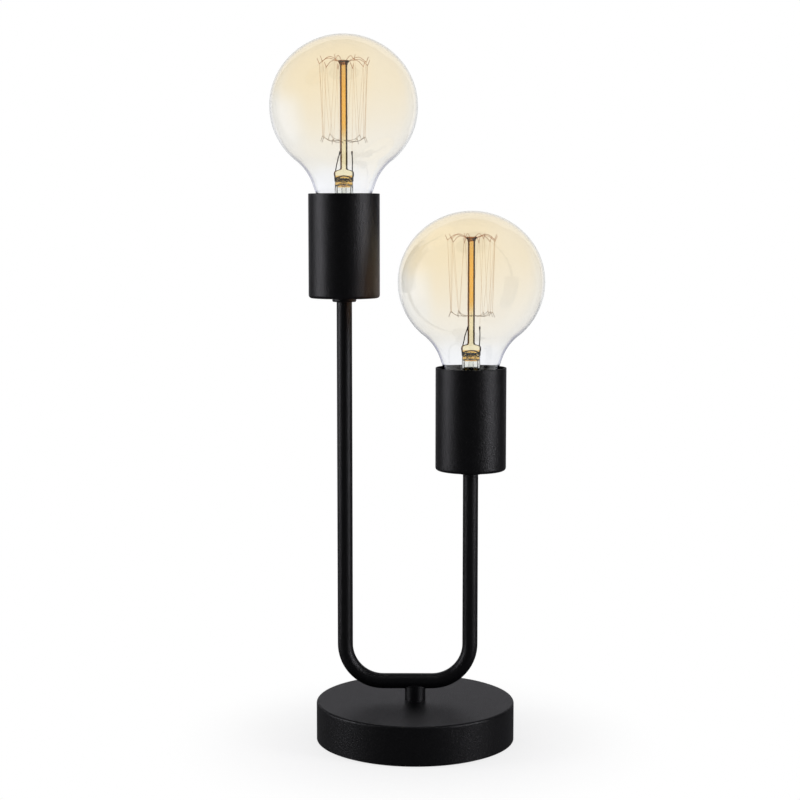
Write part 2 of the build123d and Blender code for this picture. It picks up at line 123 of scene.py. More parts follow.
# Where the globe's lustre, its painted reflections and its painted outline shade change: the heights or
# places that each change runs between
lustre_foot_z = (44 * mm, 60 * mm)
lustre_crown_z = (58 * mm, 114 * mm)
neck_tint_z = (36 * mm, 58 * mm)
neck_shade_z = (48 * mm, 66 * mm)
rim_shade_fade_z = (70 * mm, 115 * mm)
flank_reflection_fade_z = (92 * mm, 125 * mm)
window_reflection_foot_z = (58 * mm, 72 * mm)
window_reflection_top_z = (88 * mm, 106 * mm)
window_reflection_edge_x = (-30 * mm, -20 * mm)
right_reflection_x = (0, 26 * mm)

# Glass mount
flare_rim_diameter = 25.3 * mm
flare_tube_diameter = 11.8 * mm
flare_wall = 1.0 * mm
flare_top_z = 30 * mm
press_z = 42.9 * mm
press_top_z = 51.2 * mm
press_width = 13.2 * mm
press_thickness = 4.6 * mm
dome_z = press_z - 2.2 * mm
rod_diameter = 4.7 * mm
button_z = 120.4 * mm
button_diameter = 7.3 * mm
exhaust_diameter = 3.4 * mm
exhaust_wall = 0.6 * mm
exhaust_foot_z = 22 * mm
exhaust_top_z = press_z - 1.2 * mm

# Where the mount's glass changes: the heights that each change runs between, and the seam's bend in 1/m
orange_foot_z = (67 * mm, 80 * mm)
orange_top_z = (104 * mm, 117 * mm)
button_foot_z = (116.8 * mm, 118.2 * mm)
press_foot_z = (43.0 * mm, 43.8 * mm)
pinch_foot_z = (42.9 * mm, 43.3 * mm)
pinch_top_z = (46.6 * mm, 47.4 * mm)
gold_foot_z = (41.0 * mm, 41.4 * mm)
gold_top_z = (47.4 * mm, 48.0 * mm)
seam_foot_z = (47.0 * mm, 47.2 * mm)
seam_top_z = (47.7 * mm, 47.9 * mm)
seam_bend = 60
tube_top_z = (39.4 * mm, 40.4 * mm)

# Filament cage
hook_count = 10
first_hook_angle = 3.0
hook_leans = (6, -2, -5, -5, -8, -3, -7, -2, 7, 14)
hook_wire = 0.30 * mm
top_hook_radius = 15.4 * mm
top_hook_z = 118 * mm
top_hook_crown = 4.2 * mm
bottom_hook_radius = 13.7 * mm
bottom_hook_z = 72.3 * mm
bottom_hook_sag = 3 * mm
hook_tip_reach = 1.5 * mm
hook_tip_length = 3.4 * mm
hook_tilt = 1.4 * mm
hook_stray = 0.9 * mm
filament_wire = 0.13 * mm
hook_turn = 1.5
filament_lift = 0.12 * mm
lead_wire = 0.7 * mm
lead_x = 5.3 * mm
lead_pitch = 8.8 * mm
lead_tips = ((-2.2 * mm, -4.6 * mm, 62.7 * mm), (5.4 * mm, -4.6 * mm, 62.7 * mm))
clamp_length = 1.8 * mm
clamp_swell = 1.7
lead_fan_z = 16 * mm
lead_solder_z = 11 * mm

# Weld between the post and the tube
tube_diameter = 10 * mm
post_diameter = 13.5 * mm
ear_height = 2.6 * mm
weld_bead = 0.45 * mm

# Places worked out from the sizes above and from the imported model
globe_rise = globe_flatness * globe_diameter / 2
globe_z = bulb_length - globe_rise
tube_low_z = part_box("frame_tube")[0].z


def axis_of(node):
    """The upright axis of a round node, as a point on it at the node's foot."""
    low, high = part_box(node)
    return Vector(((low.x + high.x) / 2, (low.y + high.y) / 2, low.z))


def display(red, green, blue):
    """A colour as it shows on a screen, from 0 to 255, turned into the linear colour that a shader takes."""
    parts = [c / 255 for c in (red, green, blue)]
    return tuple(c / 12.92 if c <= 0.04045 else ((c + 0.055) / 1.055) ** 2.4 for c in parts) + (1.0,)


# Shader maths


class Value:
    """One output socket of a shader. Arithmetic on it adds Math nodes."""

    def __init__(self, look, socket):
        self.look = look
        self.socket = socket

    def worked(self, operation, *terms):
        names = ("Value", "Value_001")
        return self.look.node("ShaderNodeMath", {"operation": operation}, dict(zip(names, terms)))

    def __add__(self, other):
        return self.worked("ADD", self, other)

    def __sub__(self, other):
        return self.worked("SUBTRACT", self, other)

    def __rsub__(self, other):
        return self.worked("SUBTRACT", other, self)

    def __mul__(self, other):
        return self.worked("MULTIPLY", self, other)

    __radd__ = __add__
    __rmul__ = __mul__

    def fade(self, low, high):
        """Nought below low and one above high, with a smooth change between them."""
        inputs = {"Value": self, "From Min": low, "From Max": high}
        return self.look.node("ShaderNodeMapRange", {"interpolation_type": "SMOOTHSTEP"}, inputs)

    def largest(self, other):
        return self.worked("MAXIMUM", self, other)


class Look:
    """A material, the world or a lamp, while it is made."""

    def __init__(self, owner):
        owner.use_nodes = True
        self.owner = owner
        self.tree = owner.node_tree
        self.tree.nodes.clear()

    def node(self, kind, settings, inputs, output=None):
        """Adds a node: its settings first, then the values or links of its sockets, by their identifiers."""
        made = self.tree.nodes.new(kind)
        for name, value in settings.items():
            setattr(made, name, value)
        sockets = {socket.identifier: socket for socket in made.inputs}
        for name, value in inputs.items():
            if isinstance(value, Value):
                self.tree.links.new(value.socket, sockets[name])
            else:
                sockets[name].default_value = value
        if not made.outputs:
            return None
        wanted = [socket for socket in made.outputs if output in (None, socket.identifier)]
        return Value(self, wanted[0])

    def place(self):
        """Where a point is on its own piece, in metres."""
        return self.node("ShaderNodeTexCoord", {}, {}, "Object")

    def along(self, axis):
        """One of the three numbers of that place."""
        return self.node("ShaderNodeSeparateXYZ", {}, {"Vector": self.place()}, axis)

    def stretched(self, scale):
        """The place, drawn out or squeezed along each axis."""
        return self.node("ShaderNodeMapping", {}, {"Vector": self.place(), "Scale": scale})

    def grain(self, size, detail=2.0, rough=0.5, place=None):
        """Noise with features of about a size in metres."""
        inputs = {"Vector": place or self.place(), "Scale": 1 / size, "Detail": detail, "Roughness": rough}
        return self.node("ShaderNodeTexNoise", {}, inputs, "Fac")

    def cells(self, size):
        """How far a point is from the middle of its cell, in a field of cells of about a size."""
        return self.node("ShaderNodeTexVoronoi", {}, {"Vector": self.place(), "Scale": 1 / size}, "Distance")

    def mix(self, share, first, second):
        inputs = {"Factor_Float": share, "A_Color": first, "B_Color": second}
        return self.node("ShaderNodeMix", {"data_type": "RGBA"}, inputs, "Result_Color")

    def bump(self, height, depth, strength=1.0):
        """A normal from a height between nought and one, for a relief of a depth in metres."""
        return self.node("ShaderNodeBump", {}, {"Height": height, "Distance": depth, "Strength": strength})

    def facing(self):
        """Nought where the surface faces the eye and one along its outline."""
        return self.node("ShaderNodeLayerWeight", {}, {"Blend": 0.5}, "Facing")

    def ray(self, kind):
        return self.node("ShaderNodeLightPath", {}, {}, kind)

    def seen_rays(self):
        """One for the rays that look straight at the background, or through glass at it."""
        return self.ray("Is Camera Ray").largest(self.ray("Is Transmission Ray"))

    def mirrored_rays(self):
        return self.ray("Is Glossy Ray") * (1 - self.ray("Is Transmission Ray"))

    def sharp_rays(self):
        """One for the rays that clear glass reflects."""
        return self.mirrored_rays() * self.ray("Is Singular Ray")

    def blurred_rays(self):
        """One for the rays that a satin surface reflects."""
        return self.mirrored_rays() * (1 - self.ray("Is Singular Ray"))

    def principled(self, **inputs):
        names = {name.replace("_", " "): value for name, value in inputs.items()}
        return self.node("ShaderNodeBsdfPrincipled", {}, names)

    def end(self, surface):
        kinds = {bpy.types.World: "World", bpy.types.Light: "Light", bpy.types.Material: "Material"}
        kind = [word for owner, word in kinds.items() if isinstance(self.owner, owner)][0]
        self.node("ShaderNodeOutput" + kind, {}, {"Surface": surface})
        return self.owner


def new_look(name):
    return Look(bpy.data.materials.new(name))


# Materials


def powder_coat():
    """Satin powder coat: nearly black, with a pebbled skin, a slow ripple and a scatter of greyer grains."""
    look = new_look("powder_coat")
    pebbles = look.grain(0.6 * mm, detail=1.0)
    ripple = look.grain(7 * mm)
    grains = look.grain(0.5 * mm, detail=1.0).fade(0.62, 0.72)
    tone = look.mix(pebbles, display(3, 3, 5), display(9, 9, 11))
    tone = look.mix(grains * 0.4, tone, display(28, 28, 31))
    roughness = 0.30 + pebbles * 0.12 + ripple * 0.04
    relief = look.bump(pebbles + ripple * 0.1, 0.19 * mm)
    coat = look.principled(Base_Color=tone, Roughness=roughness, Specular_IOR_Level=0.3, Normal=relief)
    return look.end(coat)


def cast_iron():
    look = new_look("cast_iron")
    sand = look.grain(1.4 * mm, detail=6.0, rough=0.65)
    rust = look.grain(14 * mm, detail=4.0).fade(0.55, 0.75)
    tone = look.mix(sand, display(52, 52, 54), display(84, 82, 80))
    tone = look.mix(rust * 0.35, tone, display(96, 62, 42))
    roughness = 0.62 + sand * 0.25
    relief = look.bump(sand, 0.5 * mm)
    return look.end(look.principled(Base_Color=tone, Roughness=roughness, Metallic=0.4, Normal=relief))


def foam_pad():
    look = new_look("foam_pad")
    cells = look.cells(0.8 * mm)
    tone = look.mix(cells, display(24, 24, 25), display(46, 46, 48))
    relief = look.bump(cells, 0.25 * mm)
    return look.end(look.principled(Base_Color=tone, Roughness=0.86 + cells * 0.1, Normal=relief))


def black_rubber():
    look = new_look("black_rubber")
    skin = look.grain(0.5 * mm)
    tone = look.mix(skin, display(20, 20, 21), display(34, 34, 35))
    relief = look.bump(skin, 0.05 * mm, 0.6)
    return look.end(look.principled(Base_Color=tone, Roughness=0.5 + skin * 0.15, Normal=relief))


def moulded(name, low, high, roughness, size=3 * mm):
    """A moulded or fired piece, with a faint cloud of tone and the drag marks of its mould."""
    look = new_look(name)
    cloud = look.grain(size, detail=4.0)
    marks = look.grain(0.25 * mm, detail=1.0)
    tone = look.mix(cloud, display(*low), display(*high))
    relief = look.bump(marks * 0.4 + cloud * 0.6, 0.03 * mm, 0.7)
    shine = roughness + marks * 0.1
    return look.end(look.principled(Base_Color=tone, Roughness=shine, Normal=relief))


def metal(name, low, high, roughness, stretch, depth=0.02 * mm):
    """A bare metal with fine marks drawn out the way that it was rolled or turned, and a faint tarnish."""
    look = new_look(name)
    marks = look.grain(0.3 * mm, detail=3.0, place=look.stretched(stretch))
    tarnish = look.grain(5 * mm, detail=4.0)
    tone = look.mix(tarnish.fade(0.35, 0.7), display(*high), display(*low))
    relief = look.bump(marks, depth, 0.5)
    shine = roughness + marks * 0.12 + tarnish * 0.1
    return look.end(look.principled(Base_Color=tone, Roughness=shine, Metallic=1.0, Normal=relief))


def amber_glass():
    """The globe's glass: a lustre of amber over its upper part, which thins out to clear glass at the neck.

    The amber is paler on the right, in a patch low on the left and towards the outline: painted reflections
    of the soft boxes and of a window. Along the outline the glass is painted a cool grey shade, darkest at
    the neck."""
    look = new_look("amber_glass")
    cloud = (look.grain(38 * mm, detail=1.0) - 0.5) * (16 * mm)
    level = look.along("Z") + cloud
    across = look.along("X") + cloud * 0.4
    facing = look.facing()
    # Painted reflection: the amber is paler towards the outline, less so near the crown.
    flank_reflection = facing.fade(0.14, 0.48) * 0.4 + facing.fade(0.42, 0.62) * 0.5
    flank_reflection = flank_reflection * (1 - 0.8 * level.fade(*flank_reflection_fade_z))
    # Painted reflection of a window: a paler patch low on the left.
    window_reflection = (1 - across.fade(*window_reflection_edge_x)) * level.fade(*window_reflection_foot_z)
    window_reflection = window_reflection * (1 - level.fade(*window_reflection_top_z)) * facing.fade(0.06, 0.20)
    # Painted reflection: the amber is paler on the right, and these painted reflections take it out of the
    # tint.
    painted_reflection = (0.22 * across.fade(*right_reflection_x)).largest(flank_reflection).largest(window_reflection * 0.7)
    amber = (0.32 * level.fade(*lustre_foot_z) + 0.68 * level.fade(*lustre_crown_z)) * (1 - painted_reflection)
    tint = look.mix(level.fade(*neck_tint_z), display(251, 252, 254), display(249, 249, 248))
    tint = look.mix(amber, tint, display(251, 242, 222))
    # Painted shade: a cool grey along the outline, where the glass bends darker surroundings into view,
    # fading towards the crown.
    rim_shade = facing.fade(0.72, 0.97) * (1 - 0.7 * level.fade(*rim_shade_fade_z))
    tint = look.mix(rim_shade, tint, display(196, 202, 220))
    # Painted shade: a darker blue-grey line along the outline of the neck.
    neck_shade = facing.fade(0.68, 0.84) * (1 - level.fade(*neck_shade_z))
    tint = look.mix(neck_shade, tint, display(124, 128, 172))
    return look.end(look.principled(Base_Color=tint, Roughness=0.0, Transmission_Weight=1.0, IOR=1.47))


def mount_glass():
    """The stem's glass: orange along the rod, painted for the amber light that the rod refracts, straw in the
    press, gold and soot at the pinch, clear below.

    Its outline is painted shade, dark as the edges of a thick glass rod look, and a lighter brown on the
    rod's -X side."""
    look = new_look("mount_glass")
    height, across, facing = look.along("Z"), look.along("X"), look.facing()
    blotches = look.grain(1.1 * mm, detail=2.0, rough=0.7)
    level = height + (blotches - 0.5) * (5 * mm)
    solid = height.fade(*press_foot_z)
    pinch = height.fade(*pinch_foot_z) * (1 - level.fade(*pinch_top_z))
    gold = height.fade(*gold_foot_z) * (1 - height.fade(*gold_top_z))

    # Painted light: the rod's orange and the button's deeper orange stand in for the amber light that the rod
    # refracts.
    tint = look.mix(height.fade(*orange_foot_z), display(250, 239, 200), display(255, 202, 98))
    tint = look.mix(height.fade(*orange_top_z), tint, display(246, 206, 130))
    tint = look.mix(1 - solid, tint, display(250, 250, 246))
    tint = look.mix(gold, tint, display(238, 190, 92))
    tint = look.mix(height.fade(*button_foot_z), tint, display(206, 134, 54))
    glass = look.principled(Base_Color=tint, Roughness=0.0, Transmission_Weight=1.0, IOR=1.45)

    # Painted shade for the outline: lighter brown on the rod's -X side and darker on +X, grey along the tube;
    # real soot at the pinch.
    soot_and_shade = look.mix(across.fade(-1 * mm, 1 * mm), display(116, 68, 4), display(50, 24, 6))
    soot_and_shade = look.mix(pinch, soot_and_shade, display(16, 12, 10))
    soot_and_shade = look.mix(solid, display(72, 74, 70), soot_and_shade)
    dark = look.principled(Base_Color=soot_and_shade, Roughness=0.4, Specular_IOR_Level=0.1)

    tube = 1 - height.fade(*tube_top_z)
    # Painted shade along the outline of the rod and press, and of the tube below.
    outline = facing.fade(0.09, 0.21) * solid * 0.97 + facing.fade(0.45, 0.80) * tube * 0.8
    flakes = pinch * (1 - blotches.fade(0.46, 0.54)) * (1 - facing.fade(0.5, 0.75))
    outline = outline * (1 - flakes * 0.75)
    bent = height + across * across * seam_bend
    seam = bent.fade(*seam_foot_z) * (1 - bent.fade(*seam_top_z))
    covered = outline.largest(pinch * blotches.fade(0.545, 0.585)).largest(seam * 0.95)
    inputs = {"Fac": covered, "Shader": glass, "Shader_001": dark}
    return look.end(look.node("ShaderNodeMixShader", {}, inputs))


def support_wire():
    """The support wires: browned above, where they are nearest to the heat of the crown, and greyer below."""
    look = new_look("support_wire")
    upper = look.along("Z").fade(85 * mm, 105 * mm)
    scale = look.grain(0.8 * mm, detail=3.0)
    tone = look.mix(upper, display(206, 190, 172), display(222, 142, 92))
    tone = look.mix(scale * 0.4, tone, display(132, 92, 68))
    return look.end(look.principled(Base_Color=tone, Roughness=0.42 + scale * 0.2, Metallic=0.1))


def filament_thread():
    """The filament: a fine thread, dull and pale copper in daylight."""
    look = new_look("filament")
    turns = look.grain(0.5 * mm, detail=2.0)
    tone = look.mix(turns, display(250, 196, 142), display(255, 222, 176))
    relief = look.bump(turns, 0.03 * mm)
    return look.end(look.principled(Base_Color=tone, Roughness=0.6 + turns * 0.2, Normal=relief))


def lead_metal():
    look = new_look("lead_wire")
    scale = look.grain(1.1 * mm, detail=3.0)
    tone = look.mix(scale.fade(0.35, 0.65), display(26, 22, 24), display(66, 48, 42))
    roughness = 0.4 + scale * 0.2
    relief = look.bump(scale, 0.05 * mm, 0.6)
    return look.end(look.principled(Base_Color=tone, Roughness=roughness, Metallic=0.3, Normal=relief))


def insulation(name, low, high):
    look = new_look(name)
    skin = look.grain(0.7 * mm)
    tone = look.mix(skin, display(*low), display(*high))
    relief = look.bump(skin, 0.03 * mm, 0.6)
    return look.end(look.principled(Base_Color=tone, Roughness=0.4 + skin * 0.15, Normal=relief))


around = (0.06, 0.06, 1.0)
finishes = {
    "black_powder_coat": powder_coat(),
    "cast_iron": cast_iron(),
    "foam_pad": foam_pad(),
    "black_rubber": black_rubber(),
    "natural_plastic": moulded("natural_plastic", (214, 210, 196), (228, 225, 212), 0.42),
    "zinc_steel": metal("zinc_steel", (150, 152, 158), (196, 198, 204), 0.28, around),
    "black_phenolic": moulded("black_phenolic", (19, 18, 18), (32, 30, 29), 0.34),
    "steatite": moulded("steatite", (222, 216, 200), (238, 234, 222), 0.5, size=1.2 * mm),
    "brass": metal("brass", (168, 128, 62), (212, 176, 98), 0.26, around),
    "brown_insulation": insulation("brown_insulation", (84, 50, 30), (104, 64, 40)),
    "blue_insulation": insulation("blue_insulation", (30, 72, 140), (44, 92, 164)),
    "amber_glass": amber_glass(),
    "mount_glass": mount_glass(),
    "support_wire": support_wire(),
    "filament": filament_thread(),
    "lead_wire": lead_metal(),
    "nickel_cap": metal("nickel_cap", (158, 154, 146), (206, 204, 198), 0.24, around),
    "black_insulator": moulded("black_insulator", (14, 13, 16), (30, 27, 34), 0.12),
    "solder": metal("solder", (132, 134, 138), (178, 180, 184), 0.36, (1.0, 1.0, 1.0), depth=0.2 * mm),
}


def dress(piece, slot):
    """Gives a piece the finish of one of the record's slots."""
    piece.data.materials.clear()
    piece.data.materials.append(finishes[slot])


for node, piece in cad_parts.items():
    dress(piece, piece.data.materials[0].name.split(".")[0])


# Shapes that several pieces share


def place_piece(name, data, slot, at, body, node=None):
    """Puts a new piece at a point, on a body of the model, in place of a node where one is named."""
    piece = bpy.data.objects.new(name, data)
    bpy.context.scene.collection.objects.link(piece)
    piece.location = at
    dress(piece, slot)
    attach(piece, body)
    if node:
        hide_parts(node)
    return piece


def arc(centre, radius, start, end, steps):
    """Points of a profile along an arc between two angles, both ends included."""
    angles = [math.radians(start + (end - start) * k / steps) for k in range(steps + 1)]
    return [(centre[0] + radius * math.cos(a), centre[1] + radius * math.sin(a)) for a in angles]


def grid_mesh(name, rings, closed=False, crease=35):
    """A smooth mesh over rings of points, one after another. A ring of one point is a pole."""
    mesh = bpy.data.meshes.new(name)
    points, starts, faces = [], [], []
    for ring in rings:
        starts.append(len(points))
        points += ring
    pairs = list(zip(range(len(rings) - 1), range(1, len(rings))))
    if closed:
        pairs.append((len(rings) - 1, 0))
    for low, high in pairs:
        a, b = starts[low], starts[high]
        count = max(len(rings[low]), len(rings[high]))
        for k in range(count):
            after = (k + 1) % count
            corners = []
            corners += [a] if len(rings[low]) == 1 else [a + k, a + after]
            corners += [b] if len(rings[high]) == 1 else [b + after, b + k]
            faces.append(corners)
    mesh.from_pydata(points, [], faces)
    mesh.validate()
    mesh.shade_smooth()
    mesh.set_sharp_from_angle(angle=math.radians(crease))
    return mesh


def turned(name, outline, count, closed=False):
    """A mesh of revolution about Z, from an outline of (radius, height) points with the solid on its left."""
    rings = []
    for radius, height in outline:
        if radius < 1e-7:
            rings.append([(0, 0, height)])
        else:
            turns = [2 * math.pi * k / count for k in range(count)]
            rings.append([(radius * math.cos(t), radius * math.sin(t), height) for t in turns])
    return grid_mesh(name, rings, closed)


def wires(name, runs, diameter, swell=(), cyclic=False, smooth=True):
    """Round wires as one mesh: each run is a list of points, and swell thickens its last points."""
    curve = bpy.data.curves.new(name, "CURVE")
    curve.dimensions = "3D"
    curve.bevel_depth = diameter / 2
    curve.bevel_resolution = 3
    curve.resolution_u = 6
    curve.use_fill_caps = True
    for run in runs:
        spline = curve.splines.new("NURBS" if smooth else "POLY")
        spline.points.add(len(run) - 1)
        for point, place in zip(spline.points, run):
            point.co = (*place, 1)
        for k, factor in enumerate(reversed(swell)):
            spline.points[len(run) - 1 - k].radius = factor
        spline.use_cyclic_u = cyclic
        if smooth:
            spline.order_u = 3
            spline.use_endpoint_u = not cyclic
    drawn = bpy.data.objects.new(name, curve)
    mesh = bpy.data.meshes.new_from_object(drawn)
    mesh.name = name
    bpy.data.objects.remove(drawn)
    bpy.data.curves.remove(curve)
    return mesh


# Bulb


def shoulder(side_centre, side_radius):
    """The hollow arc between the neck's flank and the globe: its centre, and the angle where the two meet."""
    slope = math.radians(neck_angle)
    up = Vector((math.sin(slope), math.cos(slope)))
    out = Vector((up.y, -up.x))
    foot = Vector((neck_diameter / 2, cap_length + neck_rise)) - side_centre
    beside = foot + out * shoulder_radius
    climb = -beside.dot(up) - math.sqrt((side_radius + shoulder_radius) ** 2 - beside.dot(out) ** 2)
    from_globe = beside + up * climb
    return side_centre + from_globe, math.degrees(math.atan2(-from_globe.y, from_globe.x))


def glass_outline(inset):
    """The globe's profile from its foot to its crown, moved in by inset."""
    across = globe_diameter / 2
    side_radius = globe_rise**2 / across
    side_centre = Vector((across - side_radius, globe_z))
    crown_radius = (side_centre.x**2 + globe_rise**2 - side_radius**2) / (2 * (globe_rise - side_radius))
    crown_z = globe_z + globe_rise - crown_radius
    change = math.degrees(math.atan2(globe_z - crown_z, side_centre.x))
    centre, meet = shoulder(side_centre, side_radius)
    slope = math.radians(neck_angle)
    collar = collar_diameter / 2 - inset
    neck = (neck_diameter / 2 - inset * math.cos(slope), cap_length + neck_rise + inset * math.sin(slope))
    line = [(collar, glass_foot_z), (collar, cap_length), (collar + neck_round / 4, cap_length + neck_round)]
    line += [(neck[0] - neck_round / 2, neck[1] - neck_round / 3), neck]
    line += arc(centre, shoulder_radius + inset, 180 - neck_angle, 180 - meet, globe_steps)
    line += arc(side_centre, side_radius - inset, -meet, change, 2 * globe_steps)[1:]
    line += arc((0, crown_z), crown_radius - inset, change, 90, globe_steps)[1:-1]
    return line + [(0, crown_z + crown_radius - inset)]


def globe_mesh():
    outside, inside = glass_outline(globe_inset), glass_outline(glass_wall)
    foot_ring = [(collar_diameter / 2 - glass_wall / 2, glass_foot_z - glass_wall / 3)]
    return turned("glass_globe", inside[::-1] + foot_ring + outside, globe_sides)


def rounded_ring(width, depth, height, square, wobble=0.0):
    """A level ring between an ellipse, where square is 2, and a rounded rectangle, where it is more."""
    ring = []
    for k in range(wall_sides):
        turn = 2 * math.pi * k / wall_sides
        c, s = math.cos(turn), math.sin(turn)
        x = width / 2 * math.copysign(abs(c) ** (2 / square), c)
        y = depth / 2 * math.copysign(abs(s) ** (2 / square), s)
        if wobble:
            lump = noise.noise(Vector((x, y, height)) / (1.5 * mm))
            x, y = x + c * lump * wobble * 0.3, y + s * lump * wobble
        ring.append((x, y, height))
    return ring


def round_rows(rows):
    """Rows of height and width, as rows of the stem with a round section and no unevenness."""
    return [(z, width, width, 2.0, 0) for z, width in rows]


def button_rows():
    """The button on the rod's top, and the rod under it, in even steps down to the press."""
    rod_top, rod_low, steps = button_z - 3.6 * mm, press_top_z + 1.8 * mm, 24
    button = [
        (button_z - 0.05 * mm, 0.86 * button_diameter),
        (button_z - 0.30 * mm, 0.97 * button_diameter),
        (button_z - 0.70 * mm, button_diameter),
        (button_z - 1.15 * mm, 0.94 * button_diameter),
        (button_z - 1.90 * mm, 0.76 * button_diameter),
        (button_z - 2.70 * mm, 1.08 * rod_diameter),
        (rod_top, rod_diameter),
    ]
    rod = [(rod_top + (rod_low - rod_top) * k / steps, rod_diameter) for k in range(1, steps + 1)]
    return round_rows(button + rod)


def press_rows():
    """The flat press, from the rod's foot down to the tube: its lower half was pinched and is uneven."""
    rod, tube, top = rod_diameter, flare_tube_diameter, press_top_z
    return [
        (top + 0.9 * mm, 1.06 * rod, rod, 2.0, 0),
        (top + 0.35 * mm, 1.30 * rod, rod, 2.2, 0),
        (top, 0.66 * press_width, 0.96 * press_thickness, 3.0, 0),
        (top - 0.35 * mm, 0.83 * press_width, press_thickness, 2.9, 0),
        (top - 1.1 * mm, 0.95 * press_width, press_thickness, 2.8, 0),
        (top - 2.2 * mm, 0.99 * press_width, press_thickness, 2.7, 0),
        (top - 3.2 * mm, 0.98 * press_width, 0.98 * press_thickness, 2.7, 0.10 * mm),
        (top - 4.0 * mm, 0.96 * press_width, 0.92 * press_thickness, 2.7, 0.35 * mm),
        (top - 4.6 * mm, 0.94 * press_width, 0.98 * press_thickness, 2.7, 0.45 * mm),
        (top - 5.2 * mm, 0.93 * press_width, 0.90 * press_thickness, 2.6, 0.50 * mm),
        (top - 5.8 * mm, 0.93 * press_width, 1.05 * press_thickness, 2.6, 0.50 * mm),
        (top - 6.4 * mm, 0.93 * press_width, 1.30 * press_thickness, 2.6, 0.35 * mm),
        (top - 7.0 * mm, 0.93 * press_width, 1.80 * press_thickness, 2.3, 0.15 * mm),
        (top - 7.7 * mm, 0.97 * tube, 0.93 * tube, 2.1, 0),
    ]


def flare_rows():
    """The flare tube, which opens out to the rim that is sealed into the neck."""
    tube, steps = flare_tube_diameter, 6
    straight = [(press_z - (press_z - flare_top_z) * k / steps, tube) for k in range(steps + 1)]
    flare = [
        (flare_top_z - 4 * mm, 1.14 * tube),
        (flare_top_z - 8 * mm, 1.52 * tube),
        (glass_foot_z, flare_rim_diameter),
        (glass_foot_z - 0.6 * mm, flare_rim_diameter - 0.4 * mm),
    ]
    return round_rows(straight + flare)


def hollow_rows():
    """The inside of the flare tube, from its foot up to a dome under the press."""
    wall, tube = 2 * flare_wall, flare_tube_diameter
    bore = tube - wall
    return round_rows([
        (glass_foot_z - 0.6 * mm, flare_rim_diameter - wall),
        (flare_top_z - 8 * mm, 1.52 * tube - wall),
        (flare_top_z - 4 * mm, 1.14 * tube - wall),
        (flare_top_z, bore),
        ((flare_top_z + dome_z) / 2, bore),
        (dome_z, bore),
        (dome_z + 0.8 * mm, 0.90 * bore),
        (dome_z + 1.4 * mm, 0.62 * bore),
        (dome_z + 1.7 * mm, 0.30 * bore),
    ])


def mount_mesh():
    """The whole stem, from rows of height, width, depth, squareness and unevenness."""
    rows = button_rows() + press_rows() + flare_rows() + hollow_rows()
    rings = [[(0, 0, button_z)]]
    rings += [rounded_ring(width, depth, z, square, wobble) for z, width, depth, square, wobble in rows]
    rings.append([(0, 0, dome_z + 1.8 * mm)])
    return grid_mesh("stem", rings[::-1], crease=60)


def exhaust_mesh():
    """The narrow tube that the bulb was pumped out through, open at its foot."""
    outer, inner = exhaust_diameter / 2, exhaust_diameter / 2 - exhaust_wall
    low, high = exhaust_foot_z, exhaust_top_z
    outline = [(inner, high), (inner, low), (outer, low), (outer, high)]
    return turned("exhaust_tube", outline, 48, closed=True)


def radial(angle, radius, height):
    """A point at an angle round the bulb's axis."""
    return (radius * math.cos(math.radians(angle)), radius * math.sin(math.radians(angle)), height)


def stray(angle, height):
    """How far a hook stands above its even place: the cage leans back, and no two hooks are bent alike."""
    by_hand = noise.noise(Vector((angle / 20, height / (7 * mm), 0.5)))
    return by_hand * hook_stray - hook_tilt * math.sin(math.radians(angle))


def top_angles():
    return [first_hook_angle + 360 / hook_count * k + lean for k, lean in enumerate(hook_leans)]


def bottom_angles():
    """The lower hooks stand halfway between the upper ones, with none at the front, at the leads."""
    upper = top_angles()
    halves = [(a + b) / 2 for a, b in zip(upper, upper[1:] + [upper[0] + 360])]
    return [a for a in halves if abs((a % 360) - 270) > 180 / hook_count]


def top_hook(angle):
    """From the button out over an arch, down to the notch that the filament lies in, and up to a bare tip."""
    rise = stray(angle, top_hook_z)
    line = [
        (button_diameter / 2 - 0.6 * mm, button_z - 0.7 * mm),
        (button_diameter / 2 + 1.2 * mm, button_z - 0.1 * mm + rise * 0.2),
        (top_hook_radius * 0.52, top_hook_z + top_hook_crown - 0.7 * mm + rise * 0.6),
        (top_hook_radius * 0.72, top_hook_z + top_hook_crown - 0.6 * mm + rise * 0.8),
        (top_hook_radius - 0.7 * mm, top_hook_z + 0.7 * mm + rise),
        (top_hook_radius, top_hook_z - 0.2 * mm + rise),
        (top_hook_radius + 0.3 * mm, top_hook_z + 0.5 * mm + rise),
        (top_hook_radius + hook_tip_reach, top_hook_z + hook_tip_length + rise),
    ]
    return [radial(angle, r, z) for r, z in line]


def bottom_hook(angle):
    """From the rod out and up to the peak that holds the filament down, and down again to a bare tip."""
    rise = stray(angle, bottom_hook_z)
    line = [
        (rod_diameter / 2 - 0.4 * mm, bottom_hook_z - bottom_hook_sag + 0.6 * mm),
        (bottom_hook_radius * 0.40, bottom_hook_z - bottom_hook_sag + rise * 0.5),
        (bottom_hook_radius * 0.72, bottom_hook_z - bottom_hook_sag + 0.3 * mm + rise),
        (bottom_hook_radius - 0.8 * mm, bottom_hook_z - 0.7 * mm + rise),
        (bottom_hook_radius, bottom_hook_z + 0.2 * mm + rise),
        (bottom_hook_radius + 0.5 * mm, bottom_hook_z - 0.6 * mm + rise),
        (bottom_hook_radius + hook_tip_reach, bottom_hook_z - hook_tip_length + rise),
    ]
    return [radial(angle, r, z) for r, z in line]


def cage_mesh():
    runs = [top_hook(angle) for angle in top_angles()] + [bottom_hook(angle) for angle in bottom_angles()]
    return wires("support_wires", runs, hook_wire)


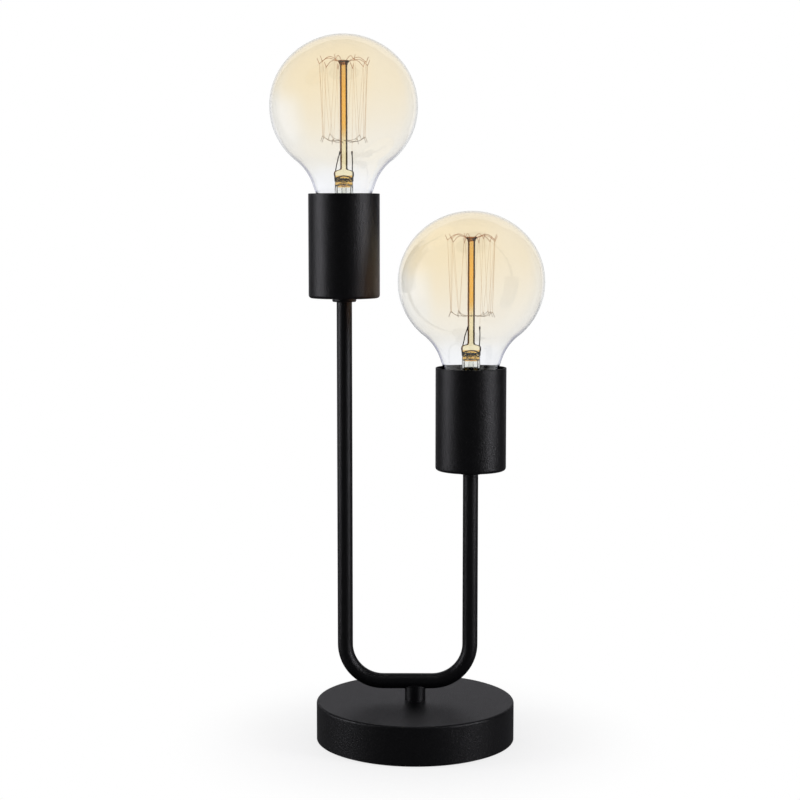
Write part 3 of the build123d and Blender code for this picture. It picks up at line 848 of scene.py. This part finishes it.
def filament_mesh():
    """One thread from the right lead, over each top hook and under each bottom hook, to the left lead."""
    over_z, under_z = top_hook_z + 0.5 * mm, bottom_hook_z - 0.7 * mm
    seats = []
    for angle in top_angles():
        seats.append((angle % 360, top_hook_radius, over_z + stray(angle, top_hook_z), filament_lift))
    for angle in bottom_angles():
        seats.append((angle % 360, bottom_hook_radius, under_z + stray(angle, bottom_hook_z), -filament_lift))
    left_tip, right_tip = lead_tips
    line = [right_tip]
    for angle, radius, height, lift in sorted(seats, key=lambda seat: (seat[0] - 270) % 360):
        line += [radial(angle + k * hook_turn, radius, height + lift * (k == 0)) for k in (-1, 0, 1)]
    return wires("filament_thread", [line + [left_tip]], filament_wire, smooth=False)


def lead_mesh():
    """The two lead-in wires, each from its solder joint up through the press to a clamp at its tip."""
    runs = []
    feet = ((0, 0, cap_foot_z + 0.2 * mm), (collar_diameter / 2 - lead_wire, 0, lead_solder_z))
    for side, foot, tip in zip((-1, 1), feet, lead_tips):
        beside = side * lead_pitch / 2
        root = Vector((side * lead_x, 0, press_top_z))
        end = Vector(tip)
        bow = Vector((side * 0.35 * mm, 0, 0))
        clamp = (end - root).normalized() * clamp_length
        run = [foot, (beside, 0, lead_fan_z), (beside, 0, (lead_fan_z + press_z) / 2), (beside, 0, press_z)]
        run += [(side * (lead_x + 0.5 * mm), 0, press_top_z - 3 * mm), root, root.lerp(end, 0.5) + bow]
        run += [end - clamp * 1.1, end - clamp * 0.6, end]
        runs.append(run)
    return wires("lead_wires", runs, lead_wire, swell=(clamp_swell, clamp_swell * 0.9))


def level_ring(radius, height):
    return [radial(360 * k / wall_sides, radius, height) for k in range(wall_sides)]


def thread_ring(height):
    """A ring of the cap's wall, drawn in where the rolled screw passes. The screw fades out at both ends."""
    fade = min(1, (height - thread_low_z) / thread_pitch, (thread_high_z - height) / thread_pitch)
    ring = []
    for k in range(wall_sides):
        wave = 0.5 - 0.5 * math.cos(2 * math.pi * (height / thread_pitch - k / wall_sides))
        ring.append(radial(360 * k / wall_sides, cap_diameter / 2 - thread_depth * wave * fade, height))
    return ring


def drawn_in(ring, wall):
    """A ring moved in towards the axis by the wall's thickness."""
    return [(x * (1 - wall / math.hypot(x, y)), y * (1 - wall / math.hypot(x, y)), z) for x, y, z in ring]


def cap_mesh():
    """The bulb's screw cap: a thin shell with the screw rolled into it, drawn in at its foot."""
    radius, foot_radius = cap_diameter / 2, cap_foot_diameter / 2
    foot = [
        level_ring(foot_radius, cap_foot_z),
        level_ring(foot_radius + 0.9 * mm, cap_foot_z + 0.7 * mm),
        level_ring(radius - 0.9 * mm, thread_low_z - 1.2 * mm),
    ]
    rise = thread_high_z - thread_low_z
    thread = [thread_ring(thread_low_z + rise * step / thread_steps) for step in range(thread_steps + 1)]
    outside = foot + thread + [level_ring(radius, cap_length)]
    inside = [drawn_in(ring, cap_wall) for ring in outside]
    return grid_mesh("screw_cap", inside[::-1] + outside, closed=True, crease=50)


# Each piece of a bulb: its mesh, its slot, and the node that it replaces
bulb_meshes = {
    "glass_globe": (globe_mesh(), "amber_glass", "bulb_glass"),
    "stem": (mount_mesh(), "mount_glass", "bulb_mount"),
    "exhaust_tube": (exhaust_mesh(), "mount_glass", None),
    "support_wires": (cage_mesh(), "support_wire", "bulb_supports"),
    "filament_thread": (filament_mesh(), "filament", "bulb_filament"),
    "lead_wires": (lead_mesh(), "lead_wire", "bulb_leads"),
    "screw_cap": (cap_mesh(), "nickel_cap", "bulb_cap"),
}
for side in sides:
    tip = axis_of(f"{side}_bulb_tip")
    tip.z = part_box(f"{side}_bulb_glass")[1].z - bulb_length
    for name, (data, slot, node) in bulb_meshes.items():
        replaced = f"{side}_{node}" if node else None
        place_piece(f"{side}_{name}", data, slot, tip, f"{side}_bulb_body", replaced)


# Frame


def weld_mesh():
    """The bead between the post's ears and the tube, all the way round."""
    arch_radius = ((post_diameter / 2) ** 2 + ear_height**2) / (2 * ear_height)
    tube_radius = tube_diameter / 2
    loop = []
    for k in range(wall_sides):
        turn = 2 * math.pi * k / wall_sides
        x = post_diameter / 2 * math.cos(turn)
        rise = ear_height - arch_radius + math.sqrt(arch_radius**2 - x**2)
        depth = math.sqrt(max(tube_radius**2 - (tube_radius - rise) ** 2, 0))
        loop.append((x, math.copysign(depth, math.sin(turn)), rise))
    return wires("post_weld", [loop], 2 * weld_bead, cyclic=True)


place_piece("post_weld", weld_mesh(), "black_powder_coat", (0, 0, tube_low_z), "lamp")


# Studio


def room_light():
    """The world: white behind the object and through the glass, and a plain fill for everything else."""
    world = bpy.data.worlds.new("studio")
    bpy.context.scene.world = world
    look = Look(world)
    seen, sharp, blurred = look.seen_rays(), look.sharp_rays(), look.blurred_rays()
    lit = (1 - seen) * (1 - sharp) * (1 - blurred)
    level = seen * white_room + sharp * clear_room + blurred * dim_room + lit * fill_light
    look.end(look.node("ShaderNodeBackground", {}, {"Color": (1, 1, 1, 1), "Strength": level}))


def stage_material(name, satin_level, clear_level, keeps_shadow):
    """White as a background, dimmer in reflections, and pale paint for the light that falls on it."""
    look = new_look(name)
    seen, sharp, blurred = look.seen_rays(), look.sharp_rays(), look.blurred_rays()
    strength = seen * white_room + sharp * clear_level + blurred * satin_level
    shown = seen
    if keeps_shadow:
        length = {"operation": "LENGTH"}
        distance = look.node("ShaderNodeVectorMath", length, {"Vector": look.place()}, "Value")
        shown = seen * (1 - (1 - distance.fade(shadow_core, shadow_reach)) * shadow_share)
    paint = look.node("ShaderNodeBsdfDiffuse", {}, {"Color": display(252, 252, 252)})
    colour = look.mix(blurred, display(255, 255, 255), cool_white)
    glow = look.node("ShaderNodeEmission", {}, {"Color": colour, "Strength": strength})
    inputs = {"Fac": shown + sharp + blurred, "Shader": paint, "Shader_001": glow}
    return look.end(look.node("ShaderNodeMixShader", {}, inputs))


def stage_sheet(name, size, at, turn, satin_level, clear_level, keeps_shadow=False):
    mesh = bpy.data.meshes.new(name)
    half_x, half_y = size[0] / 2, size[1] / 2
    corners = [(-half_x, -half_y, 0), (half_x, -half_y, 0), (half_x, half_y, 0), (-half_x, half_y, 0)]
    mesh.from_pydata(corners, [], [(0, 1, 2, 3)])
    mesh.materials.append(stage_material(name, satin_level, clear_level, keeps_shadow))
    sheet = bpy.data.objects.new(name, mesh)
    bpy.context.scene.collection.objects.link(sheet)
    sheet.location = at
    sheet.rotation_euler = turn


def hang_lamp(name, data, at, target, lights):
    """Puts a lamp at a point, aimed at another. It lights a group of pieces and is never seen itself."""
    lamp = bpy.data.objects.new(name, data)
    bpy.context.scene.collection.objects.link(lamp)
    lamp.location = at
    lamp.rotation_euler = (target - lamp.location).to_track_quat("-Z", "Y").to_euler()
    lamp.light_linking.receiver_collection = lights
    lamp.visible_camera = False
    lamp.visible_transmission = False


def soft_box(name, azimuth, height, distance, size, watts, lights):
    """A lamp with soft edges that faces the object."""
    data = bpy.data.lights.new(name, "AREA")
    data.shape = "RECTANGLE"
    data.size, data.size_y = size
    data.energy = watts
    look = Look(data)
    across = look.node("ShaderNodeNewGeometry", {}, {}, "Parametric")
    bright = 1.0
    for axis in ("X", "Y"):
        part = look.node("ShaderNodeSeparateXYZ", {}, {"Vector": across}, axis)
        bright = part.fade(0, box_fade) * (1 - part.fade(1 - box_fade, 1)) * bright
    look.end(look.node("ShaderNodeEmission", {}, {"Color": cool_white, "Strength": bright}))
    turn = math.radians(azimuth)
    at = (distance * math.sin(turn), -distance * math.cos(turn), height)
    hang_lamp(name, data, at, box_target, lights)


def amber_glow(lights):
    """The warm light that the right bulb throws on the left cup and on the arm under it."""
    data = bpy.data.lights.new("amber_glow", "SPOT")
    data.spot_size = math.radians(glow_spread)
    data.spot_blend = 1.0
    data.shadow_soft_size = glow_radius
    data.energy = glow_watts
    data.color = glow_colour
    data.use_shadow = False
    hang_lamp("amber_glow", data, glow_place, glow_target, lights)


def light_group(name, pieces, link_state):
    """A group of pieces that a lamp leaves out, or the only ones that it lights."""
    group = bpy.data.collections.new(name)
    for piece in pieces:
        group.objects.link(piece)
    for member in group.collection_objects:
        member.light_linking.link_state = link_state
    return group


def camera():
    data = bpy.data.cameras.new("photo_camera")
    data.lens = camera_lens
    data.sensor_width = camera_sensor
    data.clip_start, data.clip_end = 0.01, 50
    made = bpy.data.objects.new("photo_camera", data)
    bpy.context.scene.collection.objects.link(made)
    made.location = camera_place
    made.rotation_euler = (math.radians(90 - camera_down), 0, math.radians(camera_left))
    bpy.context.scene.camera = made


def bulb_pieces(*names):
    """The pieces of those names, of both bulbs."""
    return [bpy.data.objects[f"{side}_{name}"] for side in sides for name in names]


room_light()
flat, upright = (0, 0, 0), (math.radians(90), 0, 0)
stage_sheet("floor", (floor_size, floor_size), (0, 0, 0), flat, dim_floor, clear_room, keeps_shadow=True)
backdrop_place = (0, backdrop_y, backdrop_size[1] / 2)
stage_sheet("backdrop", backdrop_size, backdrop_place, upright, dim_backdrop, clear_backdrop)
clear_pieces = bulb_pieces("glass_globe", "stem", "exhaust_tube")
all_but_glass = light_group("all_but_glass", clear_pieces, "EXCLUDE")
for name, box in metal_boxes.items():
    soft_box(name, *box, all_but_glass)
globes = light_group("globes", bulb_pieces("glass_globe"), "INCLUDE")
for name, box in globe_boxes.items():
    soft_box(name, *box, globes)
glowing = [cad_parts[name] for name in ("left_cup", "left_ring_nut", "frame_tube")]
amber_glow(light_group("beside_right_bulb", glowing, "INCLUDE"))
# The left cup is kept out of mirror images, so the right globe's outer face doesn't show it.
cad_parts["left_cup"].visible_glossy = False
camera()
bpy.context.scene.view_settings.view_transform = "Standard"
